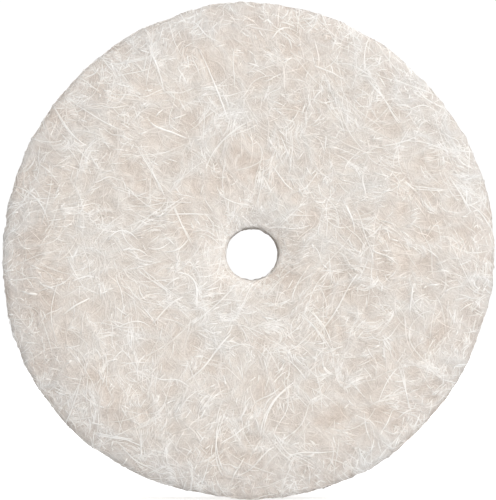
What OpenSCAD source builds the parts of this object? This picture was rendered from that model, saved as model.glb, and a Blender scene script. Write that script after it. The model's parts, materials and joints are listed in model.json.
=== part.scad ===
// Felt polishing wheel: one disc of pressed wool felt, cut from thick sheet by a round die and
// punched through the middle for the screw of a rotary-tool mandrel.
// Millimetres. +Z is up, the wheel spins about Y, its faces look along -Y and +Y,
// and the origin is on the bore axis, halfway through the felt.

/* [Wheel] */
// Outside diameter of the disc
wheel_d = 12.7; // [8:0.1:38]
// Thickness of the felt
wheel_t = 4; // [2.5:0.1:12]
// Radius left on both outer edges, where the die drags the fibres over
rim_round = 0.8; // [0.2:0.05:1.1]

/* [Bore] */
// Diameter of the punched hole
bore_d = 1.27; // [0.8:0.01:3.2]
// Radius left on both mouths of the hole, where the punch pulls the fibres in
mouth_round = 0.25; // [0.1:0.05:0.6]

/* [Hidden] */

$fn = 96;
wheel_r = wheel_d / 2;
bore_r = bore_d / 2;
half_t = wheel_t / 2;
// How far the punch runs past each face
punch_over = 1;
felt_cream = [0.89, 0.86, 0.83];

// The disc before it is punched: a full-thickness middle, a full-diameter band round the rim,
// and at each face a ring of round section that joins the two.
module die_cut_blank() {
    cylinder(h = wheel_t, r = wheel_r - rim_round, center = true);
    cylinder(h = wheel_t - 2 * rim_round, r = wheel_r, center = true);
    for (side = [-1, 1])
        translate([0, 0, side * (half_t - rim_round)])
            rotate_extrude()
                translate([wheel_r - rim_round, 0])
                    circle(r = rim_round);
}

// The space that the rounded mouth of the hole leaves open at the upper face.
module mouth() {
    translate([0, 0, half_t - mouth_round])
        rotate_extrude()
            difference() {
                square([bore_r + mouth_round, mouth_round + punch_over]);
                translate([bore_r + mouth_round, 0])
                    circle(r = mouth_round);
            }
}

// Everything that the punch takes out.
module punched_hole() {
    cylinder(h = wheel_t + 2 * punch_over, r = bore_r, center = true);
    mouth();
    mirror([0, 0, 1]) mouth();
}

module felt_disc() {
    color(felt_cream)
        rotate([90, 0, 0])
            difference() {
                die_cut_blank();
                punched_hole();
            }
}

felt_disc();
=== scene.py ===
"""Felt polishing wheel: a small disc of pressed wool felt with a punched hole, standing on its rim.

The felt is one cut blank. It is drawn as a lumpy body and as the fibres that lie loose on its
skin: tangled on both faces, short and layered round the cut rim, and combed through the hole.
Mesh code works in millimetres; meshes are made in metres.
"""
import itertools
import json
import math

import bpy
import numpy as np
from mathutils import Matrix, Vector


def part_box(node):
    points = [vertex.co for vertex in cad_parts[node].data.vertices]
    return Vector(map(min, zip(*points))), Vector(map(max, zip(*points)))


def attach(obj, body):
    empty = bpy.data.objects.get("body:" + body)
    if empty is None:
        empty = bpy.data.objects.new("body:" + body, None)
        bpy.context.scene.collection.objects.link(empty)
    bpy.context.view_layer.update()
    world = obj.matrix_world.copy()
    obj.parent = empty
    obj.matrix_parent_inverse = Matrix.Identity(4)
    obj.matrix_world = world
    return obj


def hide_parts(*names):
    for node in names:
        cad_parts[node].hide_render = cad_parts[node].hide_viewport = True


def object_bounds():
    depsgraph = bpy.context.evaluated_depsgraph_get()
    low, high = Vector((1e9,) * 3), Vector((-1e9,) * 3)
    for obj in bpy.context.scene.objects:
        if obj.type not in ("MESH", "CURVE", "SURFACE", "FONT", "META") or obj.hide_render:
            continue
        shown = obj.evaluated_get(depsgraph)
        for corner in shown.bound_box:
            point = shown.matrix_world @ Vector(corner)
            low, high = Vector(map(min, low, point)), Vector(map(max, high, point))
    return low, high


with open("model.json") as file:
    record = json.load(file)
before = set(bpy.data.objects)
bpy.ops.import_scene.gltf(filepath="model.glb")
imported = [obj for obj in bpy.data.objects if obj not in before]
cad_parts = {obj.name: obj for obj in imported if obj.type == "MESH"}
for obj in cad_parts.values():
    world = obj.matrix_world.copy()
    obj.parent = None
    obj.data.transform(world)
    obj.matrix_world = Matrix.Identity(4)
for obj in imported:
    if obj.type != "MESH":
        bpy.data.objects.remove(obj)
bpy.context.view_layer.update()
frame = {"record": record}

MM = 0.001
TAU = 2 * math.pi
FRONT, BACK = -1, 1

# ---------------------------------------------------------------- sizes, in millimetres

disc_low, disc_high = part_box("felt_disc")
bore = next(m for m in frame["record"]["mounts"] if m["name"] == "mandrel_bore")
WHEEL_R = (disc_high[0] - disc_low[0]) / 2 / MM
HALF_T = (disc_high[1] - disc_low[1]) / 2 / MM
BORE_R = bore["dims"]["r_mm"]
MOUTH_ROUND = 0.21
RIM_ROUND = 0.14

# Places on the skin are given as the way along it from the axis: over the face, then round
# the edge and across the rim, or the other way, into the hole.
MOUTH_S = BORE_R + MOUTH_ROUND
EDGE_S = WHEEL_R - RIM_ROUND
BORE_S = MOUTH_S - MOUTH_ROUND * math.pi / 2
RIM_S = EDGE_S + RIM_ROUND * math.pi / 2
BORE_MID_S = BORE_S - (HALF_T - MOUTH_ROUND)
RIM_MID_S = RIM_S + (HALF_T - RIM_ROUND)

# The die-cut outline isn't a true circle round the hole: it is a little small, off centre, oval,
# and wavy. Each row has the waves per turn, their height, and the direction of a crest.
OUTLINE_WAVES = (
    (0, -0.020, 0), (1, 0.125, 165), (2, 0.035, 140), (3, 0.040, -90), (4, 0.025, 80),
    (5, 0.025, 25),
)
# The face falls away towards the rim, from this part of the radius outwards, and most of all
# in the direction CROWN_LOW.
CROWN_FROM, CROWN_DROP, CROWN_POWER = 0.68, 0.32, 2.4
CROWN_SWING, CROWN_LOW = 0.45, math.radians(212)
# The punch dragged the felt in: the face sinks towards the hole, by this much over this width.
PUNCH_DIP, PUNCH_WIDTH = 0.13, 0.6
# The hole's wall stands back a little, and its lining of fibres fills the difference.
LINING = 0.067
# The felt's lumps are lower by this share where it is cut, on the rim and in the hole. They
# have come down at these distances past the edge.
CUT_FLATTER, RIM_CUT_OVER, HOLE_CUT_OVER = 0.75, 0.7, 0.4

# ---------------------------------------------------------------- pattern of the wool

# Noises are rows of height, waves per millimetre and seed.
LUMPS = ((0.050, 0.75, 11), (0.025, 3.2, 13))
CLOUDS = ((0.65, 0.62, 40), (0.55, 1.4, 41))
# The raised locks form two nets, in rows of waves per millimetre, seed and strength. A lock
# runs where the noise is near zero, and ends at LOCK_EDGE.
LOCK_NETS = ((1.05, 24, 1.0), (1.9, 25, 0.85))
LOCK_EDGE, LOCK_POWER = 0.42, 1.3
# How high a lock stands, and the strength at which the skin is neither raised nor lowered.
LOCK_HEIGHT, LOCK_MIDDLE = 0.052, 0.45
# Both nets are bent sideways by up to this much, by noises with these waves per millimetre and
# a seed for each direction.
NET_BEND, NET_BENDS_PER_MM, NET_BEND_SEEDS = 0.22, 0.9, (21, 22, 23)
# Beside the hole the wool is packed and pale on one side, and thin on the other, up and to the
# right, where its fibres are also painted darker as shade: x and z of each spot, how far it reaches,
# and how much more wool lies there than elsewhere.
SPOTS = ((-1.0, -0.6, 1.0, 1.0), (0.28, 0.30, 0.48, -2.0))
SPOT_IN_CLOUDS = 0.5
# How much each adds to the number of loose fibres: being on a lock, in a cloud and in a spot.
THICK_ON_LOCKS, THICK_IN_CLOUDS, THICK_IN_SPOTS = 0.60, 0.35, 0.25
# How much each adds to the tone of a fibre: being on a lock, in a cloud and in a spot.
# The lock term is painted shade: fibres are darker down in the pits. The spot term also paints
# shade on the dull spot beside the hole.
PIT_SHADE, CLOUD_GAIN, SPOT_TONE_AND_SHADE = 0.28, 0.06, 0.24

# The direction in which the wool was carded, the noise by which it wanders over a face, and the
# share of the fibres that keep to it.
CARDED, CARDED_SHARE = math.radians(-50), 0.4
CARDED_SWING = ((2.2, 0.4, 50),)
CURLS = ((1.0, 0.8, 51),)
# How much of a fibre's bend is its own, and how much it shares with its neighbours.
OWN_BEND, SHARED_BEND = 0.65, 1.9

# The long fibres that stand out on the front: where the middle lies, as a share of the radius
# and a bearing, then the heading, the length in millimetres and the bend. Angles in degrees.
STRAYS = (
    (0.52, 141, -60, 1.7, -10), (0.31, 158, -64, 1.3, 15), (0.48, 103, 45, 2.1, -60),
    (0.90, 146, -52, 1.6, 35), (0.84, 117, -69, 1.6, -15), (0.91, 122, 12, 1.2, 5),
    (0.42, -50, -50, 1.4, -25), (0.40, -45, -55, 1.2, -20), (0.85, -42, -77, 1.4, 0),
    (0.62, -83, 60, 1.8, -60), (0.83, 49, -52, 1.5, -5), (0.80, 67, -21, 0.9, -10),
    (0.43, 21, -70, 1.0, -25), (0.78, 20, -4, 1.0, 0), (0.89, 16, -60, 1.3, -5),
    (0.40, -163, -36, 1.5, 10), (0.92, -127, -12, 1.3, 8), (0.89, -120, -88, 1.0, 5),
    (0.79, -101, -90, 2.0, 50),
)


# ---------------------------------------------------------------- shape of the skin

def smooth(x):
    """Goes smoothly from 0 to 1 as x does, and stays there on both sides."""
    x = np.clip(x, 0, 1)
    return x * x * (3 - 2 * x)


def lattice_noise(points, per_mm, seed):
    """Smooth gradient noise, about -1 to 1, at points (..., 3)."""
    cells, furthest_shift, gain = 256, 64, 1.6
    rng = np.random.default_rng(seed)
    order = rng.permutation(cells)
    slopes = rng.normal(size=(cells, 3))
    slopes /= np.linalg.norm(slopes, axis=1, keepdims=True)
    p = points * per_mm + rng.uniform(0, furthest_shift, 3)
    cell = np.floor(p).astype(int)
    part = p - cell
    ease = part ** 3 * (part * (part * 6 - 15) + 10)
    total = np.zeros(points.shape[:-1])
    for corner in itertools.product((0, 1), repeat=3):
        c = cell + corner
        i = order[c[..., 0] % cells]
        i = order[(i + c[..., 1]) % cells]
        i = order[(i + c[..., 2]) % cells]
        weight = np.prod(np.where(corner, ease, 1 - ease), axis=-1)
        total += weight * np.sum(slopes[i] * (part - corner), axis=-1)
    return total * gain


def layered_noise(points, rows):
    return sum(height * lattice_noise(points, per_mm, seed) for height, per_mm, seed in rows)


def place(s, theta, side, lift):
    """Point that stands lift above the smooth skin, s along it from the axis, at angle theta."""
    s, theta = np.broadcast_arrays(s, theta)
    turn_in = np.clip((MOUTH_S - s) / MOUTH_ROUND, 0, math.pi / 2)
    turn_out = np.clip((s - EDGE_S) / RIM_ROUND, 0, math.pi / 2)
    radius = (
        np.clip(s, MOUTH_S, EDGE_S)
        - (MOUTH_ROUND + lift) * np.sin(turn_in)
        + (RIM_ROUND + lift) * np.sin(turn_out)
    )
    depth = (
        MOUTH_ROUND * (1 - np.cos(turn_in))
        + RIM_ROUND * (1 - np.cos(turn_out))
        - lift * np.cos(turn_in) * np.cos(turn_out)
        + np.maximum(BORE_S - s, 0)
        + np.maximum(s - RIM_S, 0)
    )
    fade = np.clip((HALF_T - depth) / HALF_T, 0, 1)
    outer = np.clip((radius / WHEEL_R - CROWN_FROM) / (1 - CROWN_FROM), 0, 1)
    crown = CROWN_DROP * (1 + CROWN_SWING * np.cos(theta - CROWN_LOW)) * outer ** CROWN_POWER
    dip = PUNCH_DIP * np.clip((MOUTH_S + PUNCH_WIDTH - s) / PUNCH_WIDTH, 0, 1) ** 2
    y = side * (HALF_T - depth - (crown + dip) * fade)
    stray = sum(
        high * np.cos(waves * theta - math.radians(crest)) for waves, high, crest in OUTLINE_WAVES
    )
    radius = radius + stray * (radius / WHEEL_R) ** 2
    return np.stack([radius * np.cos(theta), y, radius * np.sin(theta)], axis=-1)


def ridges(points):
    """The felt's net of raised locks round small pits: 1 along a lock, 0 in a pit."""
    bends = [lattice_noise(points, NET_BENDS_PER_MM, seed) for seed in NET_BEND_SEEDS]
    bent = points + NET_BEND * np.stack(bends, axis=-1)
    nets = [
        strength * (1 - np.minimum(np.abs(lattice_noise(bent, per_mm, seed)) / LOCK_EDGE, 1))
        for per_mm, seed, strength in LOCK_NETS
    ]
    return np.max(nets, axis=0) ** LOCK_POWER


def spots(points):
    """How much more wool than elsewhere lies in the spots beside the hole; less where below 0."""
    return sum(
        more * np.exp(-((points[..., 0] - x) ** 2 + (points[..., 2] - z) ** 2) / reach ** 2)
        for x, z, reach, more in SPOTS
    )


def clouds(points):
    """Broad places where the wool is packed, pale and cool, near 1, or thin and warm, near 0."""
    level = layered_noise(points, CLOUDS)
    return np.clip(0.5 + level + SPOT_IN_CLOUDS * spots(points), 0, 1)


def pallor(points):
    """How pale and cool the wool is: near 1 where it is packed and on locks, near 0 in pits."""
    return (clouds(points) + ridges(points)) / 2


def relief(points, s):
    """Height of the felt's lumps: locks on the faces, much less on the cut rim and in the hole."""
    lumps = layered_noise(points, LUMPS) + LOCK_HEIGHT * (ridges(points) - LOCK_MIDDLE)
    cut_rim = smooth((s - EDGE_S) / RIM_CUT_OVER)
    cut_hole = smooth((MOUTH_S - s) / HOLE_CUT_OVER)
    level = lumps * (1 - CUT_FLATTER * cut_rim) * (1 - CUT_FLATTER * cut_hole)
    return level - LINING * cut_hole


def skin(s, theta, side, lift=0.0):
    """Point lift above the lumpy skin."""
    base = place(s, theta, side, 0.0)
    return place(s, theta, side, relief(base, s) + lift)


def unit(v):
    """The vectors at length 1; one of no length stays as it is."""
    return v / np.maximum(np.linalg.norm(v, axis=-1, keepdims=True), 1e-9)


def off_skin(s, theta, side):
    """Direction that points off the skin, with its crown and dip but without its lumps."""
    step = 0.01
    along = place(s + step, theta, side, 0.0) - place(s - step, theta, side, 0.0)
    around = place(s, theta + step, side, 0.0) - place(s, theta - step, side, 0.0)
    return unit(np.cross(along, around)) * -np.asarray(side)[..., None]


# ---------------------------------------------------------------- mesh makers

def add_piece(name, verts, faces, material):
    """A visible piece of the wheel, from vertices in millimetres."""
    mesh = bpy.data.meshes.new(name)
    mesh.from_pydata((verts * MM).tolist(), [], faces)
    mesh.update()
    mesh.shade_smooth()
    mesh.materials.append(material)
    piece = bpy.data.objects.new(name, mesh)
    bpy.context.scene.collection.objects.link(piece)
    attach(piece, "root")
    return piece


def store(piece, name, values):
    """Keeps one number per vertex on the mesh, for its material to read."""
    kept = piece.data.attributes.new(name, "FLOAT", "POINT")
    kept.data.foreach_set("value", values.astype(np.float32))


def felt_body(material):
    """The blank, as rows round the axis that follow its section from front to back."""
    around = 512
    by_mouth = 0.3
    # Places where the spacing of the rows changes, from the middle of the hole's wall over a
    # face to the middle of the rim, and the number of rows between them.
    stops = (BORE_MID_S, BORE_S, MOUTH_S, MOUTH_S + by_mouth, EDGE_S, RIM_S, RIM_MID_S)
    rows = (6, 9, 5, 44, 16, 12)
    s = np.concatenate(
        [np.linspace(a, b, n, endpoint=False) for a, b, n in zip(stops, stops[1:], rows)]
    )
    theta = np.linspace(0, TAU, around, endpoint=False)
    front = skin(s[:, None], theta[None, :], FRONT)
    outward = np.append(s[1:], RIM_MID_S)
    back = skin(outward[:, None], theta[None, :], BACK)
    verts = np.concatenate([front[::-1], back])
    total = len(verts)
    row, col = np.meshgrid(np.arange(total), np.arange(around), indexing="ij")
    next_row, next_col = (row + 1) % total, (col + 1) % around
    quads = np.stack(
        [next_row * around + col, next_row * around + next_col,
         row * around + next_col, row * around + col], axis=-1
    )
    verts = verts.reshape(-1, 3)
    piece = add_piece("felt_body", verts, quads.reshape(-1, 4).tolist(), material)
    store(piece, "loft", ridges(verts))
    store(piece, "pallor", pallor(verts))
    return piece


def fibre_piece(name, centre, up, radius, tone, material):
    """Three-sided tubes along centre (fibre, step, 3), with a tone stored at each step."""
    sides = 3
    fibres, steps = centre.shape[:2]
    along = unit(np.gradient(centre, axis=1))
    across = unit(np.cross(along, up))
    above = np.cross(across, along)
    corner = np.arange(sides)
    # One side of the tube lies flat on top.
    turn = TAU * corner / sides - math.pi / 2
    ring = (
        np.cos(turn)[:, None] * across[:, :, None, :] + np.sin(turn)[:, None] * above[:, :, None, :]
    )
    verts = centre[:, :, None, :] + ring * radius[:, :, None, None]
    first = (np.arange(fibres) * steps * sides)[:, None]
    here = (first + np.arange(steps - 1) * sides)[..., None]
    beyond = here + sides
    after = (corner + 1) % sides
    quads = np.stack([here + corner, here + after, beyond + after, beyond + corner], axis=-1)
    start = first + corner[::-1]
    end = first + (steps - 1) * sides + corner
    faces = quads.reshape(-1, 4).tolist() + start.tolist() + end.tolist()
    piece = add_piece(name, verts.reshape(-1, 3), faces, material)
    # Light goes through a single wool fibre, so it casts no shadow.
    piece.visible_shadow = False
    store(piece, "tone", np.repeat(tone.reshape(-1), sides))
    store(piece, "pallor", np.repeat(pallor(centre).reshape(-1), sides))


# ---------------------------------------------------------------- paths of fibres

def wander(rng, middle, heading, length, bend, waver, steps):
    """Plan of gently curved paths (fibre, step, 2) whose middles lie at middle."""
    fewest_beats, most_beats = 0.6, 1.6
    t = np.linspace(-0.5, 0.5, steps)[None, :]
    phase = rng.uniform(0, TAU, (len(middle), 1))
    beats = rng.uniform(fewest_beats, most_beats, (len(middle), 1))
    angle = heading[:, None] + bend[:, None] * t + waver[:, None] * np.sin(TAU * beats * t + phase)
    half_way = (angle[:, 1:] + angle[:, :-1]) / 2
    move = np.stack([np.cos(half_way), np.sin(half_way)], axis=-1)
    move *= (length / (steps - 1))[:, None, None]
    path = np.concatenate([np.zeros((len(middle), 1, 2)), np.cumsum(move, axis=1)], axis=1)
    return path - path[:, steps // 2][:, None] + middle[:, None]


def on_face(plan, side):
    """Points of a flat plan (..., 2) in space, at the height of a face."""
    return np.stack(
        [plan[..., 0], np.full(plan.shape[:-1], side * HALF_T), plan[..., 1]], axis=-1
    )


def thickness(plan, side):
    """How thickly loose fibres lie at a place on a face, 0 to 1: along locks and in clouds."""
    at = on_face(plan, side)
    return np.clip(
        THICK_ON_LOCKS * ridges(at) + THICK_IN_CLOUDS * clouds(at) + THICK_IN_SPOTS * spots(at),
        0, 1,
    )


def along_locks(plan, side):
    """Direction in which the nearest lock runs."""
    step = 0.04
    rise = [
        ridges(on_face(plan + d, side)) - ridges(on_face(plan - d, side))
        for d in (np.array([step, 0]), np.array([0, step]))
    ]
    return np.arctan2(rise[1], rise[0]) + math.pi / 2


def grain(plan, side):
    """Direction the wool was carded in, which wanders over the face."""
    return CARDED + layered_noise(on_face(plan, side), CARDED_SWING)


def curl(plan, side):
    """How the wool curls at a place, about -1 to 1: fibres that lie side by side bend alike."""
    return layered_noise(on_face(plan, side), CURLS)


def headings(rng, plan, side, follow, spread):
    """Directions of fibres: a share runs with the locks, a share with the grain, the rest anyhow."""
    count = len(plan)
    choice = rng.uniform(0, 1, count)
    stray = rng.normal(0, spread, count)
    anyhow = rng.uniform(0, TAU, count)
    with_grain = np.where(choice < follow + CARDED_SHARE, grain(plan, side) + stray, anyhow)
    return np.where(choice < follow, along_locks(plan, side) + stray, with_grain)


def clear_of_hole(plan):
    """True for the paths that don't run across the open hole."""
    overhang = 0.03
    return np.hypot(plan[..., 0], plan[..., 1]).min(axis=1) > BORE_S - overhang


def face_middles(rng, count, side, evenness):
    """Places on a face, more of them where the loose fibres lie thick."""
    tries = 4
    # The nearest places to the axis lie on the rounding of the mouth, as shares of an area.
    mouth_share = 0.7
    nearest = (MOUTH_S / WHEEL_R) ** 2 * mouth_share
    found = np.zeros((0, 2))
    while len(found) < count:
        away = WHEEL_R * np.sqrt(rng.uniform(nearest, 1, tries * count))
        bearing = rng.uniform(0, TAU, len(away))
        spot = np.stack([away * np.cos(bearing), away * np.sin(bearing)], axis=-1)
        keep = rng.uniform(0, 1, len(away)) < evenness + (1 - evenness) * thickness(spot, side)
        found = np.concatenate([found, spot[keep]])
    return found[:count]


def lay_on_face(plan, lift, side):
    """Plan paths laid on a face at the given lifts, which are less past its edge.

    Returns the paths and the direction that points off the felt at each step.
    """
    flatter, flatter_over = 0.6, 0.4
    s = np.hypot(plan[..., 0], plan[..., 1])
    theta = np.arctan2(plan[..., 1], plan[..., 0])
    lift = lift * (1 - flatter * smooth((s - EDGE_S) / flatter_over))
    return skin(s, theta, side, lift), off_skin(s, theta, side)


def lengthwise(steps):
    """How far along a fibre each step is, 0 to 1."""
    return np.linspace(0, 1, steps)[None, :]


def lengths(rng, limits, count):
    """Lengths between two limits, short ones as common as long ones on a log scale."""
    shortest, longest = limits
    return np.exp(rng.uniform(math.log(shortest), math.log(longest), count))


def arches(rng, count, steps, lift, least, sunk):
    """Lifts along fibres that rise to at most lift, with both ends sunk in the felt."""
    return rng.uniform(least, 1, (count, 1)) * lift * (np.sin(math.pi * lengthwise(steps)) - sunk)


def taper(rng, fibres, steps, thick, tip):
    """Fibre radii: even along most of the length, finer at one end and blunt at the other."""
    fine_from, fine_over = 0.62, 0.38
    blunt_by, blunt_over = 0.35, 0.12
    spread = 0.26
    t = lengthwise(steps)
    fine_end = 1 - (1 - tip) * smooth((t - fine_from) / fine_over)
    blunt_end = 1 - blunt_by * smooth((blunt_over - t) / blunt_over)
    own = np.exp(rng.normal(0, spread, (fibres, 1)))
    flip = rng.uniform(0, 1, (fibres, 1)) < 0.5
    shape = fine_end * blunt_end
    return thick * own * np.where(flip, shape[:, ::-1], shape)


def tones(rng, mean, spread, centre):
    """Tone of each fibre at each step.

    Most fibres are alike. A few carry a painted highlight where they come out of the felt, not at
    their ends, where they sink in. All are painted darker down in the pits, as shade.
    """
    first_crest, last_crest, crest_width = 0.25, 0.75, 0.28
    rarity, own_spread = 0.4, 0.04
    fibres, steps = centre.shape[:2]
    # Painted highlight: a bright stretch round a crest along the fibre, not at its ends.
    crest = rng.uniform(first_crest, last_crest, (fibres, 1))
    painted_highlight = np.exp(-((lengthwise(steps) - crest) / crest_width) ** 2)
    bright = spread * rng.gamma(rarity, 1, (fibres, 1)) * painted_highlight
    own = mean + rng.normal(0, own_spread, (fibres, 1)) + bright
    # Painted shade: fibres are lighter on the locks and darker down in the pits, and darker on the
    # dull spot beside the hole.
    tone_and_shade_by_place = (
        PIT_SHADE * (ridges(centre) - 0.5) + CLOUD_GAIN * (clouds(centre) - 0.5)
        + SPOT_TONE_AND_SHADE * spots(centre)
    )
    return np.clip(own + tone_and_shade_by_place, 0, 1)


# ---------------------------------------------------------------- layers of fibres

def spin(name, rng, centre, up, thick, tip, tone, spread, material):
    """Fibres along the paths in centre, each with its own thickness and tone."""
    radius = taper(rng, *centre.shape[:2], thick, tip)
    fibre_piece(name, centre, up, radius, tones(rng, tone, spread, centre), material)


def face_fibres(name, side, seed, count, steps, length, thick, lift, rise, tone, spread,
                material, evenness, bend, waver=0.22, follow=0.4):
    """Loose fibres strewn over one face."""
    heading_spread, tip = 0.33, 0.45
    least, sunk, ripple, ripples = 0.2, 0.55, 0.35, 1.3
    rng = np.random.default_rng(seed)
    middle = face_middles(rng, count, side, evenness)
    heading = headings(rng, middle, side, follow, heading_spread)
    size = lengths(rng, length, count)
    own_bend = rng.normal(0, OWN_BEND * bend, count) + SHARED_BEND * bend * curl(middle, side)
    plan = wander(
        rng, middle, heading, size, own_bend * np.sqrt(size), rng.normal(0, waver, count), steps
    )
    plan = plan[clear_of_hole(plan)]
    count = len(plan)
    t = lengthwise(steps)
    phase = rng.uniform(0, TAU, (count, 1))
    height = lift * rng.uniform(least, 1, (count, 1)) + rise * rng.uniform(0, 1, (count, 1)) * (
        np.sin(math.pi * t) - sunk + ripple * np.sin(TAU * ripples * t + phase)
    )
    laid, up = lay_on_face(plan, height, side)
    spin(name, rng, laid, up, thick, tip, tone, spread, material)


def face_tufts(name, side, seed, tufts, per_tuft, steps, length, thick, lift, material):
    """Wisps of fibres that run together for a while and fan out."""
    evenness, follow, heading_spread = 0.15, 0.6, 0.5
    tuft_bend, own_bend, waver, slip_spread = 1.2, 0.2, 0.10, 0.22
    widths, fans, shares = (0.03, 0.13), (0.08, 0.35), (0.45, 1.1)
    rng = np.random.default_rng(seed)
    root = face_middles(rng, tufts, side, evenness)
    heading = headings(rng, root, side, follow, heading_spread)
    bend = rng.normal(0, tuft_bend, tufts)
    size = rng.uniform(*length, tufts)
    fewest, most = per_tuft
    many = rng.integers(fewest, most + 1, tufts)
    own = np.repeat(np.arange(tufts), many)
    count = len(own)
    cross = rng.normal(0, 1, count) * np.repeat(rng.uniform(*widths, tufts), many)
    slip = rng.normal(0, slip_spread, count) * size[own]
    ahead = np.stack([np.cos(heading), np.sin(heading)], axis=-1)[own]
    aside = np.stack([-ahead[:, 1], ahead[:, 0]], axis=-1)
    middle = root[own] + ahead * slip[:, None] + aside * cross[:, None]
    fan = rng.normal(0, 1, count) * np.repeat(rng.uniform(*fans, tufts), many)
    plan = wander(
        rng, middle, heading[own] + fan + bend[own] * slip / size[own],
        size[own] * rng.uniform(*shares, count),
        bend[own] + rng.normal(0, own_bend, count), rng.normal(0, waver, count), steps,
    )
    plan = plan[clear_of_hole(plan)]
    height = arches(rng, len(plan), steps, lift, least=0.15, sunk=0.25)
    laid, up = lay_on_face(plan, height, side)
    spin(name, rng, laid, up, thick, tip=0.5, tone=0.40, spread=0.7, material=material)


def stray_fibres(name, seed, steps, thick, lift, material):
    """The fibres in STRAYS, each a strand of three that keep close together."""
    strand, apart, heading_spread, waver = 3, 0.016, 0.03, 0.08
    shares, lifts, lift_at_ends = (0.7, 1), (0.7, 1.1), 0.3
    rng = np.random.default_rng(seed)
    share, bearing, heading, length, bend = np.repeat(np.array(STRAYS, float), strand, axis=0).T
    count = len(share)
    turn = np.radians(bearing)
    middle = (share * WHEEL_R)[:, None] * np.stack([np.cos(turn), np.sin(turn)], axis=-1)
    plan = wander(
        rng, middle + rng.normal(0, apart, (count, 2)),
        np.radians(heading) + rng.normal(0, heading_spread, count),
        length * rng.uniform(*shares, count),
        np.radians(bend), rng.normal(0, waver, count), steps,
    )
    arch = lift_at_ends + (1 - lift_at_ends) * np.sin(math.pi * lengthwise(steps))
    height = lift * arch * rng.uniform(*lifts, (count, 1))
    laid, up = lay_on_face(plan, height, FRONT)
    spin(name, rng, laid, up, thick, tip=0.4, tone=0.72, spread=0.3, material=material)


def wall_fibres(name, rng, plan, wall_r, middle_s, towards_face, lift, thick, tone, spread,
                material):
    """Fibres on the rim or in the hole, from a plan of that wall unrolled.

    middle_s is the wall's middle, and towards_face is the sign of the way from there to a face.
    """
    theta = plan[..., 0] / wall_r
    s = middle_s + towards_face * np.abs(plan[..., 1])
    side = np.where(plan[..., 1] < 0, FRONT, BACK)
    height = arches(rng, *plan.shape[:2], lift, least=0.1, sunk=0.3)
    laid, up = skin(s, theta, side, height), off_skin(s, theta, side)
    spin(name, rng, laid, up, thick, tip=0.5, tone=tone, spread=spread, material=material)


def rim_fibres(name, seed, count, steps, length, thick, lift, tone, material, edge_share):
    """Short fibres on the cut rim; edge_share of them lie along its two edges."""
    past_edge = (-0.35, 0.55)
    layered_share, layered_spread, bend, waver = 0.55, 0.45, 0.8, 0.2
    rng = np.random.default_rng(seed)
    anywhere = rng.uniform(-HALF_T, HALF_T, count)
    at_edge = rng.choice((FRONT, BACK), count) * (HALF_T + rng.uniform(*past_edge, count))
    middle = np.stack(
        [rng.uniform(0, TAU * WHEEL_R, count),
         np.where(rng.uniform(0, 1, count) < edge_share, at_edge, anywhere)], axis=-1
    )
    size = lengths(rng, length, count)
    layered = rng.normal(0, layered_spread, count)
    anyhow = rng.uniform(0, TAU, count)
    heading = np.where(rng.uniform(0, 1, count) < layered_share, layered, anyhow)
    plan = wander(
        rng, middle, heading, size, rng.normal(0, bend, count), rng.normal(0, waver, count), steps
    )
    wall_fibres(name, rng, plan, WHEEL_R, RIM_MID_S, -1, lift, thick, tone=tone, spread=0.85,
                material=material)


def bore_fibres(name, seed, count, steps, length, thick, lift, material):
    """Fibres that line the punched hole, mostly combed along it."""
    beyond_mouth, past_edge, deep_share = 0.15, (-0.35, 0.40), 0.5
    combed_spread, bend, waver = 0.7, 0.5, 0.2
    rng = np.random.default_rng(seed)
    reach = HALF_T + beyond_mouth
    deep = rng.uniform(-reach, reach, count)
    at_mouth = rng.choice((FRONT, BACK), count) * (HALF_T + rng.uniform(*past_edge, count))
    middle = np.stack(
        [rng.uniform(0, TAU * BORE_R, count),
         np.where(rng.uniform(0, 1, count) < deep_share, deep, at_mouth)], axis=-1
    )
    size = rng.uniform(*length, count)
    plan = wander(
        rng, middle, rng.normal(math.pi / 2, combed_spread, count), size,
        rng.normal(0, bend, count), rng.normal(0, waver, count), steps,
    )
    # The lining's high tone is painted light that lightens the hole's shaded wall.
    wall_fibres(name, rng, plan, BORE_R, BORE_MID_S, 1, lift, thick, tone=0.60, spread=0.4,
                material=material)


# ---------------------------------------------------------------- materials

# Tints of the wool in its pits, and on its locks where it is packed. Loose fibres differ less.
FELT_TINTS = ((1.025, 0.995, 0.975), (0.980, 1.003, 1.018))
LOOSE_TINTS = ((1.003, 1.000, 0.985), (0.992, 1.000, 1.008))
# The part of the radius over which the wool takes on its tint at the rim.
RIM_TINT_FROM, RIM_TINT_TO = 0.80, 0.94

# Pressed wool from pits to locks, darker in the pits as painted shade, and its pale and its lined
# parts.
PRESSED = ((0.22, (0.55, 0.493, 0.44)), (0.50, (0.68, 0.62, 0.562)), (0.85, (0.80, 0.75, 0.69)))
PRESSED_PALE = (0.74, 0.705, 0.67)
PRESSED_LINE = (0.88, 0.83, 0.78)
# Towards the rim the body turns cooler and a little darker; the darkening is painted shade.
PRESSED_RIM_TINT_AND_SHADE = (0.96, 0.97, 0.985)
# Lines on pressed wool, in layers: their direction in degrees, waves of the noise per millimetre
# along them and across them, and half a line's width as a share of the noise.
LINE_LAYERS = (
    (12, 1.1, 13, 0.040), (58, 1.3, 16, 0.035), (97, 0.9, 12, 0.045),
    (143, 1.2, 15, 0.035), (171, 1.0, 19, 0.040),
)
BLACK, WHITE = (0, 0, 0), (1, 1, 1)


def new_material(name):
    material = bpy.data.materials.new(name)
    material.use_nodes = True
    nodes, links = material.node_tree.nodes, material.node_tree.links
    return material, nodes, links, nodes["Principled BSDF"]


def feed(links, socket, value):
    """Sets a socket to a number, vector or colour, or links it to another node's output."""
    if isinstance(value, bpy.types.NodeSocket):
        links.new(value, socket)
    elif socket.type == "RGBA":
        socket.default_value = (*value, 1)
    else:
        socket.default_value = value


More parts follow.
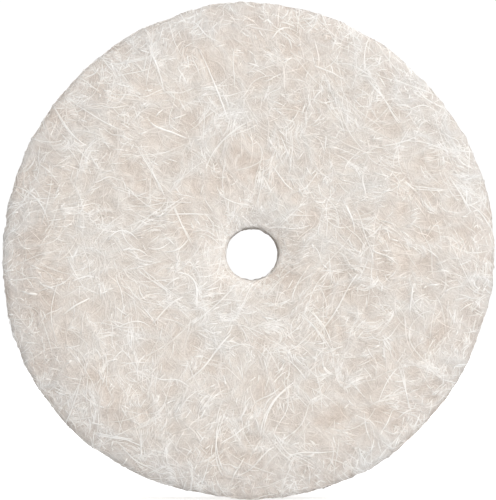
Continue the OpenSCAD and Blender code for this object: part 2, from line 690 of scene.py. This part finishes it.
def maths(nodes, links, operation, *values):
    node = nodes.new("ShaderNodeMath")
    node.operation = operation
    for socket, value in zip(node.inputs, values):
        feed(links, socket, value)
    return node.outputs[0]


def vector_maths(nodes, links, operation, *values):
    node = nodes.new("ShaderNodeVectorMath")
    node.operation = operation
    for socket, value in zip(node.inputs, values):
        feed(links, socket, value)
    return node


def noise_node(nodes, links, vector, scale, detail, rough=0.55, distortion=0.0):
    node = nodes.new("ShaderNodeTexNoise")
    node.inputs["Scale"].default_value = scale
    node.inputs["Detail"].default_value = detail
    node.inputs["Roughness"].default_value = rough
    node.inputs["Distortion"].default_value = distortion
    links.new(vector, node.inputs["Vector"])
    return node


def ramp_node(nodes, links, factor, stops):
    node = nodes.new("ShaderNodeValToRGB")
    ramp = node.color_ramp
    while len(ramp.elements) < len(stops):
        ramp.elements.new(0.5)
    for element, (at, colour) in zip(ramp.elements, stops):
        element.position = at
        element.color = (*colour, 1)
    links.new(factor, node.inputs["Fac"])
    return node.outputs["Color"]


def mix_colour(nodes, links, factor, a, b, blend="MIX"):
    # The node has sockets for numbers, vectors and colours, of which these take colours.
    factor_in, a_in, b_in, colour_out = 0, 6, 7, 2
    node = nodes.new("ShaderNodeMix")
    node.data_type = "RGBA"
    node.blend_type = blend
    for index, value in ((factor_in, factor), (a_in, a), (b_in, b)):
        feed(links, node.inputs[index], value)
    return node.outputs[colour_out]


def multiply(nodes, links, colour, by):
    return mix_colour(nodes, links, 1.0, colour, by, "MULTIPLY")


def bump_node(nodes, links, height, strength, distance):
    node = nodes.new("ShaderNodeBump")
    node.inputs["Strength"].default_value = strength
    node.inputs["Distance"].default_value = distance
    links.new(height, node.inputs["Height"])
    return node


def attribute(nodes, name):
    node = nodes.new("ShaderNodeAttribute")
    node.attribute_name = name
    return node.outputs["Fac"]


def millimetres(nodes, links):
    """Object coordinates, counted in millimetres."""
    coords = nodes.new("ShaderNodeTexCoord")
    scale = vector_maths(nodes, links, "SCALE", coords.outputs["Object"])
    scale.inputs["Scale"].default_value = 1 / MM
    return scale.outputs[0]


def fibre_lines(nodes, links, place_mm):
    """Thin curved lines that cross each other: stretched noise, turned and warped per layer."""
    warps_per_mm, warp_by = 0.9, 1.1
    warp = noise_node(nodes, links, place_mm, warps_per_mm, detail=1.5)
    warped = vector_maths(
        nodes, links, "MULTIPLY_ADD", warp.outputs["Color"], (warp_by,) * 3, place_mm
    ).outputs[0]
    lines = None
    for angle, along, across, width in LINE_LAYERS:
        turned = nodes.new("ShaderNodeMapping")
        turned.inputs["Rotation"].default_value = (0, math.radians(angle), 0)
        links.new(warped, turned.inputs["Vector"])
        stretched = vector_maths(
            nodes, links, "MULTIPLY", turned.outputs[0], (along, across, across)
        ).outputs[0]
        noise = noise_node(nodes, links, stretched, 1.0, detail=1.0)
        line = ramp_node(
            nodes, links, noise.outputs["Fac"],
            [(0.5 - width, BLACK), (0.5, WHITE), (0.5 + width, BLACK)],
        )
        lines = line if lines is None else mix_colour(nodes, links, 1.0, lines, line, "LIGHTEN")
    return lines


def tint_by(nodes, links, colour, share, at_none, at_full):
    """The colour, multiplied by a tint that goes from one to the other as share goes 0 to 1."""
    return multiply(nodes, links, colour, mix_colour(nodes, links, share, at_none, at_full))


def tint_at_rim(nodes, links, place_mm, colour, tint):
    """The colour, tinted over the outer part of the wheel."""
    flat = vector_maths(nodes, links, "MULTIPLY", place_mm, (1, 0, 1)).outputs[0]
    away = vector_maths(nodes, links, "LENGTH", flat).outputs["Value"]
    outer = nodes.new("ShaderNodeMapRange")
    outer.interpolation_type = "SMOOTHSTEP"
    outer.inputs["From Min"].default_value = RIM_TINT_FROM * WHEEL_R
    outer.inputs["From Max"].default_value = RIM_TINT_TO * WHEEL_R
    links.new(away, outer.inputs["Value"])
    return tint_by(nodes, links, colour, outer.outputs["Result"], WHITE, tint)


def pressed_wool():
    """The body: warm beige and painted shade in the pits, paler and cooler on the locks, lined with
    fibres.
    """
    tufts_per_mm, fuzz_per_mm = 2.4, 22
    loft_part, tuft_part, pale_part, line_part = 0.45, 0.7, 0.4, 0.42
    fuzz_part, fuzz_floor = 0.10, 0.95
    line_height, fuzz_height = 0.6, 0.7
    material, nodes, links, shader = new_material("pressed_wool")
    at = millimetres(nodes, links)
    loft = attribute(nodes, "loft")
    pale = attribute(nodes, "pallor")
    tufts = noise_node(
        nodes, links, at, tufts_per_mm, detail=5, rough=0.6, distortion=0.6
    ).outputs["Fac"]
    fuzz = noise_node(nodes, links, at, fuzz_per_mm, detail=2).outputs["Fac"]
    lines = fibre_lines(nodes, links, at)
    level = maths(nodes, links, "ADD", maths(nodes, links, "MULTIPLY", loft, loft_part),
                  maths(nodes, links, "MULTIPLY", tufts, tuft_part))
    # The ramp paints the body darker in the pits between locks, as shade.
    base = ramp_node(nodes, links, level, PRESSED)
    paled = mix_colour(
        nodes, links, maths(nodes, links, "MULTIPLY", pale, pale_part), base, PRESSED_PALE
    )
    lined = mix_colour(
        nodes, links, maths(nodes, links, "MULTIPLY", lines, line_part), paled, PRESSED_LINE
    )
    speckle = maths(nodes, links, "MULTIPLY_ADD", fuzz, fuzz_part, fuzz_floor)
    speckled = multiply(nodes, links, lined, speckle)
    tinted = tint_by(nodes, links, speckled, pale, *FELT_TINTS)
    # Painted shade: the body darkens a little towards the rim.
    links.new(tint_at_rim(nodes, links, at, tinted, PRESSED_RIM_TINT_AND_SHADE), shader.inputs["Base Color"])
    shader.inputs["Roughness"].default_value = 0.95
    shader.inputs["Specular IOR Level"].default_value = 0.25
    shader.inputs["Sheen Weight"].default_value = 0.2
    shader.inputs["Sheen Roughness"].default_value = 0.55
    height = maths(nodes, links, "ADD", maths(nodes, links, "MULTIPLY", lines, line_height),
                   maths(nodes, links, "MULTIPLY", fuzz, fuzz_height))
    bump = bump_node(nodes, links, height, strength=0.40, distance=0.02 * MM)
    links.new(bump.outputs["Normal"], shader.inputs["Normal"])
    return material


def loose_wool(name, dull, bright, cool, tints, rim_tint, roughness):
    """One kind of loose fibre: its own tone on each fibre, cooler where the wool is pale."""
    streaks_per_mm, scales_per_mm = 9, 30
    cool_part, streak_part, streak_floor = 0.5, 0.16, 0.92
    flatness = 2
    material, nodes, links, shader = new_material(name)
    at = millimetres(nodes, links)
    own = mix_colour(nodes, links, attribute(nodes, "tone"), dull, bright)
    pale = attribute(nodes, "pallor")
    cooled = mix_colour(
        nodes, links, maths(nodes, links, "MULTIPLY", pale, cool_part), own, cool
    )
    streaks = noise_node(nodes, links, at, streaks_per_mm, detail=2).outputs["Fac"]
    shade = maths(nodes, links, "MULTIPLY_ADD", streaks, streak_part, streak_floor)
    streaked = multiply(nodes, links, cooled, shade)
    tinted = tint_by(nodes, links, streaked, pale, *tints)
    links.new(tint_at_rim(nodes, links, at, tinted, rim_tint), shader.inputs["Base Color"])
    shader.inputs["Roughness"].default_value = roughness
    shader.inputs["Specular IOR Level"].default_value = 0.45
    shader.inputs["Sheen Weight"].default_value = 0.15
    scales = noise_node(nodes, links, at, scales_per_mm, detail=1).outputs["Fac"]
    bump = bump_node(nodes, links, scales, strength=0.12, distance=0.004 * MM)
    # A tube's flat sides show a little: their own normal counts flatness times the smooth one.
    geometry = nodes.new("ShaderNodeNewGeometry")
    mixed = vector_maths(nodes, links, "MULTIPLY_ADD", geometry.outputs["True Normal"],
                         (flatness,) * 3, geometry.outputs["Normal"])
    even = vector_maths(nodes, links, "NORMALIZE", mixed.outputs[0])
    links.new(even.outputs[0], bump.inputs["Normal"])
    links.new(bump.outputs["Normal"], shader.inputs["Normal"])
    return material


# ---------------------------------------------------------------- the wheel

pressed = pressed_wool()
nap = loose_wool(
    "wool_nap", dull=(0.63, 0.57, 0.517), bright=(0.88, 0.815, 0.755), cool=(0.77, 0.73, 0.695),
    tints=FELT_TINTS, rim_tint=(0.98, 0.99, 1.005), roughness=0.7,
)
web = loose_wool(
    "wool_web", dull=(0.70, 0.637, 0.58), bright=(0.97, 0.91, 0.85), cool=(0.87, 0.84, 0.81),
    tints=FELT_TINTS, rim_tint=(0.986, 1.0, 1.016), roughness=0.6,
)
loose = loose_wool(
    "wool_loose", dull=(0.80, 0.745, 0.69), bright=(0.99, 0.955, 0.915), cool=(0.95, 0.93, 0.91),
    tints=LOOSE_TINTS, rim_tint=(0.99, 1.0, 1.01), roughness=0.45,
)

body = felt_body(pressed)
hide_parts("felt_disc")

# Sizes of fibres are in millimetres: length is from the shortest to the longest, thick is the
# radius, lift is how high a fibre lies, and rise is how much it goes up and down.
for label, side, seed in (("front", FRONT, 100), ("back", BACK, 200)):
    face_fibres(
        label + "_under_nap", side, seed, count=5000, steps=6, length=(0.2, 0.7),
        thick=0.0105, lift=0.006, rise=0.010, tone=0.38, spread=0.15, material=nap,
        evenness=0.8, bend=0.9,
    )
    face_fibres(
        label + "_fine_nap", side, seed + 1, count=5400, steps=6, length=(0.2, 0.6),
        thick=0.0092, lift=0.012, rise=0.012, tone=0.38, spread=0.4, material=nap,
        evenness=0.5, bend=0.9,
    )
    face_fibres(
        label + "_curls", side, seed + 5, count=4500, steps=7, length=(0.2, 0.8),
        thick=0.0104, lift=0.022, rise=0.024, tone=0.25, spread=0.50, material=web,
        evenness=0.15, bend=1.1, waver=0.3, follow=0.35,
    )
    face_fibres(
        label + "_web", side, seed + 2, count=2200, steps=10, length=(0.4, 1.5),
        thick=0.0108, lift=0.030, rise=0.035, tone=0.24, spread=0.6, material=web,
        evenness=0.25, bend=0.8, waver=0.3,
    )
    face_fibres(
        label + "_long_fibres", side, seed + 3, count=400, steps=16, length=(0.6, 2.1),
        thick=0.0125, lift=0.045, rise=0.055, tone=0.45, spread=0.8, material=loose,
        evenness=0.2, bend=0.7,
    )
    face_fibres(
        label + "_flecks", side, seed + 6, count=1300, steps=5, length=(0.15, 0.45),
        thick=0.0115, lift=0.045, rise=0.045, tone=0.66, spread=0.6, material=loose,
        evenness=0.1, bend=0.7, waver=0.1,
    )
    face_tufts(
        label + "_wisps", side, seed + 4, tufts=260, per_tuft=(4, 16), steps=8,
        length=(0.25, 0.8), thick=0.0105, lift=0.050, material=loose,
    )
stray_fibres("front_strays", 501, steps=18, thick=0.0125, lift=0.060, material=loose)
# On the rim the nap and web are toned darker than on the faces, as painted shade between fibres.
rim_fibres(
    "rim_nap", 301, count=5000, steps=7, length=(0.2, 0.8), thick=0.0110, lift=0.018,
    tone=0.30, material=nap, edge_share=0.10,
)
rim_fibres(
    "rim_web", 302, count=5000, steps=7, length=(0.25, 1.1), thick=0.0110, lift=0.034,
    tone=0.20, material=web, edge_share=0.30,
)
# Edge flecks are pale fibres round both edges: painted highlights where fibres stick off and catch
# light.
rim_fibres(
    "edge_flecks", 303, count=2300, steps=6, length=(0.15, 0.6), thick=0.0120, lift=0.055,
    tone=0.64, material=loose, edge_share=0.9,
)
# The hole is lined with the palest wool: painted light on its shaded wall.
bore_fibres(
    "bore_nap", 401, count=1500, steps=7, length=(0.2, 0.6), thick=0.0100, lift=0.014,
    material=loose,
)

# ---------------------------------------------------------------- stage, light and camera

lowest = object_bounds()[0]


def add_floor(half, height):
    """Plain pale paper that glows a little, so that it shows almost white."""
    mottles_per_mm = 0.8
    mesh = bpy.data.meshes.new("floor")
    mesh.from_pydata(
        [(-half, -half, 0), (half, -half, 0), (half, half, 0), (-half, half, 0)], [],
        [(0, 1, 2, 3)],
    )
    floor = bpy.data.objects.new("floor", mesh)
    floor.location = (0, 0, height)
    bpy.context.scene.collection.objects.link(floor)
    # Neither the paper nor its glow lights the wheel.
    floor.visible_diffuse = False
    paper, nodes, links, shader = new_material("floor_paper")
    mottle = noise_node(nodes, links, millimetres(nodes, links), mottles_per_mm, detail=4)
    shades = [(0.3, (0.90, 0.90, 0.90)), (0.7, (0.92, 0.92, 0.92))]
    links.new(ramp_node(nodes, links, mottle.outputs["Fac"], shades), shader.inputs["Base Color"])
    shader.inputs["Roughness"].default_value = 0.9
    shader.inputs["Emission Color"].default_value = (*WHITE, 1)
    shader.inputs["Emission Strength"].default_value = 0.55
    mesh.materials.append(paper)


def add_room(dim, gain, sweep_strength):
    """White surroundings, brightest ahead of both faces and dimmer to the sides."""
    world = bpy.data.worlds.new("studio")
    bpy.context.scene.world = world
    world.use_nodes = True
    nodes, links = world.node_tree.nodes, world.node_tree.links
    room = nodes["Background"]
    room.inputs["Color"].default_value = (*WHITE, 1)
    sweep = nodes.new("ShaderNodeBackground")
    sweep.inputs["Color"].default_value = (*WHITE, 1)
    sweep.inputs["Strength"].default_value = sweep_strength
    direction = nodes.new("ShaderNodeTexCoord")
    parts = nodes.new("ShaderNodeSeparateXYZ")
    links.new(direction.outputs["Generated"], parts.inputs[0])
    facing = maths(nodes, links, "MULTIPLY", parts.outputs["Y"], parts.outputs["Y"])
    strength = maths(nodes, links, "MULTIPLY_ADD", facing, gain, dim)
    links.new(strength, room.inputs["Strength"])
    # The camera sees an even white sweep behind the wheel, which lights nothing.
    seen = nodes.new("ShaderNodeLightPath")
    choose = nodes.new("ShaderNodeMixShader")
    links.new(seen.outputs["Is Camera Ray"], choose.inputs[0])
    links.new(room.outputs[0], choose.inputs[1])
    links.new(sweep.outputs[0], choose.inputs[2])
    links.new(choose.outputs[0], nodes["World Output"].inputs["Surface"])


def add_softbox(name, azimuth, elevation, distance, width, power, colour):
    """Square soft light aimed at the wheel; azimuth 0 is in front, 90 on the right."""
    a, e = math.radians(azimuth), math.radians(elevation)
    away = Vector((math.sin(a) * math.cos(e), -math.cos(a) * math.cos(e), math.sin(e)))
    lamp = bpy.data.lights.new(name, "AREA")
    lamp.size = width
    lamp.energy = power
    lamp.color = colour
    softbox = bpy.data.objects.new(name, lamp)
    softbox.location = away * distance
    softbox.rotation_mode = "QUATERNION"
    softbox.rotation_quaternion = away.to_track_quat("Z", "Y")
    bpy.context.scene.collection.objects.link(softbox)


def add_camera(lens, look_at, distance, left, below):
    """Camera that looks along +Y, from the left and from below by these small angles."""
    data = bpy.data.cameras.new("camera")
    data.lens = lens
    data.sensor_width = 36
    data.clip_start = 0.001
    data.clip_end = 3
    camera = bpy.data.objects.new("camera", data)
    camera.location = look_at + distance * Vector((
        -math.sin(left) * math.cos(below), -math.cos(left) * math.cos(below), -math.sin(below),
    ))
    camera.rotation_euler = (math.pi / 2 + below, 0, -left)
    bpy.context.scene.collection.objects.link(camera)
    bpy.context.scene.camera = camera


add_floor(half=0.5, height=lowest[2])
add_room(dim=0.45, gain=0.865, sweep_strength=1.05)
add_softbox("key_light", azimuth=42, elevation=30, distance=0.25, width=0.10, power=0.28,
            colour=(1.0, 0.99, 0.975))
add_softbox("back_fill", azimuth=150, elevation=35, distance=0.30, width=0.14, power=0.32,
            colour=WHITE)
add_camera(
    lens=400, look_at=Vector((-0.107 * MM, 0, 0.109 * MM)), distance=0.1446,
    left=math.radians(0.42), below=math.radians(0.42),
)
bpy.context.scene.view_settings.view_transform = "Standard"
